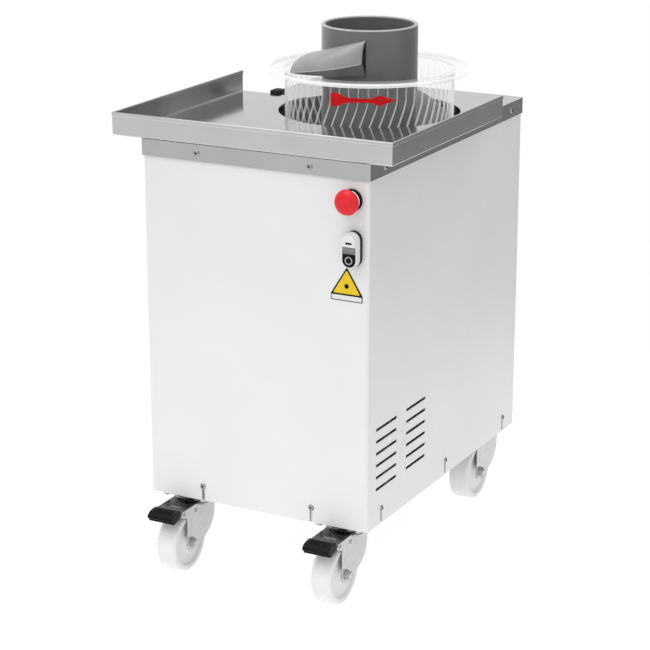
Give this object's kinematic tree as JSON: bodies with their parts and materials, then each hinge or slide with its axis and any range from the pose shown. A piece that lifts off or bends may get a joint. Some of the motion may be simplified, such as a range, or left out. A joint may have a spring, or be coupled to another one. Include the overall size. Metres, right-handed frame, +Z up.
{
  "type": "dough rounding machine",
  "caption": "White cabinet on castors with a turning clear ribbed bowl round a grey feed tube, a steel outfeed tray, a double push button and an emergency stop.",
  "frame": {"origin": "centre of the footprint, on the floor", "axes": "+Z up along the height, -Y out of the front with the buttons, X across the width"},
  "size_m": [0.495, 0.6784, 0.869],
  "materials": {
    "white_paint": "smooth powder coat",
    "stainless": "polished",
    "galvanised": "zinc plated, dull",
    "machined": "machined",
    "chrome": "polished",
    "clear": "clear, glossy",
    "grey_plastic": "satin moulding",
    "motor_grey": "satin",
    "nylon": "satin",
    "black_plastic": "satin",
    "rubber": "matte",
    "red": "glossy",
    "lamp": "glossy",
    "yellow": "printed"
  },
  "bodies": {
    "machine": {"housing_shell": "white_paint", "rear_panel": "white_paint", "cable_gland": "black_plastic", "base_pan": "galvanised", "chassis_frame": "galvanised", "top_plate": "stainless", "outfeed_tray": "stainless", "tray_stop": "rubber", "drive_deck": "motor_grey", "spindle_housing": "machined", "lower_bearing": "chrome", "upper_bearing": "chrome", "motor_plate": "galvanised", "gearbox": "machined", "gearmotor": "motor_grey", "centre_post": "machined", "drive_belt": "rubber", "estop_collar": "chrome", "estop_block": "black_plastic", "switch_bezel": "black_plastic", "switch_lamp": "lamp", "switch_block": "black_plastic", "control_box": "lamp", "hazard_plate": "yellow", "skirt_screw_left": "stainless", "skirt_screw_right": "stainless", "base_screw_left": "stainless", "base_screw_right": "stainless", "front_left_castor_plate": "galvanised", "front_right_castor_plate": "galvanised", "rear_left_castor_plate": "galvanised", "rear_right_castor_plate": "galvanised"},
    "turning_bowl": {"bowl": "clear", "rotation_arrow": "red", "drive_spindle": "machined", "driven_pulley": "machined"},
    "motor_output": {"motor_pulley": "machined"},
    "dough_guide": {"feed_tube": "grey_plastic", "spiral_guide": "grey_plastic", "guide_hood": "grey_plastic"},
    "emergency_stop_stem": {"estop_stem": "black_plastic"},
    "emergency_stop_head": {"estop_head": "red"},
    "start_key": {"start_button": "nylon"},
    "stop_key": {"stop_button": "black_plastic"},
    "front_left_swivel": {"front_left_fork": "galvanised", "front_left_axle": "galvanised"},
    "front_left_roller": {"front_left_wheel": "nylon"},
    "front_left_brake": {"front_left_brake_lever": "galvanised", "front_left_brake_pedal": "black_plastic"},
    "front_right_swivel": {"front_right_fork": "galvanised", "front_right_axle": "galvanised"},
    "front_right_roller": {"front_right_wheel": "nylon"},
    "front_right_brake": {"front_right_brake_lever": "galvanised", "front_right_brake_pedal": "black_plastic"},
    "rear_left_swivel": {"rear_left_fork": "galvanised", "rear_left_axle": "galvanised"},
    "rear_left_roller": {"rear_left_wheel": "nylon"},
    "rear_right_swivel": {"rear_right_fork": "galvanised", "rear_right_axle": "galvanised"},
    "rear_right_roller": {"rear_right_wheel": "nylon"}
  },
  "joints": [
    {"name": "bowl_spin", "type": "hinge", "parent": "machine", "child": "turning_bowl", "pos_m": [0.0255, 0.08925, 0.612], "axis": [0, 0, 1], "continuous": true},
    {"name": "motor_pulley_spin", "type": "hinge", "parent": "machine", "child": "motor_output", "pos_m": [0.0255, -0.12175, 0.482], "axis": [0, 0, 1], "continuous": true},
    {"name": "guide_lift", "type": "slide", "parent": "machine", "child": "dough_guide", "axis": [0, 0, 1], "range_m": [0, 0.25]},
    {"name": "estop_press", "type": "slide", "parent": "machine", "child": "emergency_stop_stem", "axis": [0, 1, 0], "range_m": [0, 0.005]},
    {"name": "estop_twist", "type": "hinge", "parent": "emergency_stop_stem", "child": "emergency_stop_head", "pos_m": [0.1785, -0.27175, 0.664], "axis": [0, 1, 0], "range_deg": [0, 30], "stiffness_Nm_per_rad": 0.05},
    {"name": "start_press", "type": "slide", "parent": "machine", "child": "start_key", "axis": [0, 1, 0], "range_m": [0, 0.003], "stiffness_N_per_m": 400},
    {"name": "stop_press", "type": "slide", "parent": "machine", "child": "stop_key", "axis": [0, 1, 0], "range_m": [0, 0.003], "stiffness_N_per_m": 400},
    {"name": "front_left_swivel_turn", "type": "hinge", "parent": "machine", "child": "front_left_swivel", "pos_m": [-0.1365, -0.23575, 0.11], "axis": [0, 0, 1], "continuous": true},
    {"name": "front_left_wheel_spin", "type": "hinge", "parent": "front_left_swivel", "child": "front_left_roller", "pos_m": [-0.1365, -0.27375, 0.05], "axis": [1, 0, 0], "continuous": true},
    {"name": "front_left_brake_press", "type": "hinge", "parent": "front_left_swivel", "child": "front_left_brake", "pos_m": [-0.1365, -0.26425, 0.104], "axis": [1, 0, 0], "range_deg": [0, 12]},
    {"name": "front_right_swivel_turn", "type": "hinge", "parent": "machine", "child": "front_right_swivel", "pos_m": [0.1495, -0.23575, 0.11], "axis": [0, 0, 1], "continuous": true},
    {"name": "front_right_wheel_spin", "type": "hinge", "parent": "front_right_swivel", "child": "front_right_roller", "pos_m": [0.1495, -0.27375, 0.05], "axis": [1, 0, 0], "continuous": true},
    {"name": "front_right_brake_press", "type": "hinge", "parent": "front_right_swivel", "child": "front_right_brake", "pos_m": [0.1495, -0.26425, 0.104], "axis": [1, 0, 0], "range_deg": [0, 12]},
    {"name": "rear_left_swivel_turn", "type": "hinge", "parent": "machine", "child": "rear_left_swivel", "pos_m": [-0.1395, 0.28325, 0.11], "axis": [0, 0, 1], "continuous": true},
    {"name": "rear_left_wheel_spin", "type": "hinge", "parent": "rear_left_swivel", "child": "rear_left_roller", "pos_m": [-0.1395, 0.24525, 0.05], "axis": [1, 0, 0], "continuous": true},
    {"name": "rear_right_swivel_turn", "type": "hinge", "parent": "machine", "child": "rear_right_swivel", "pos_m": [0.1525, 0.28325, 0.11], "axis": [0, 0, 1], "continuous": true},
    {"name": "rear_right_wheel_spin", "type": "hinge", "parent": "rear_right_swivel", "child": "rear_right_roller", "pos_m": [0.1525, 0.24525, 0.05], "axis": [1, 0, 0], "continuous": true}
  ],
  "couplings": [
    {"joint": "motor_pulley_spin", "follows": "bowl_spin", "ratio": 2.6667}
  ]
}
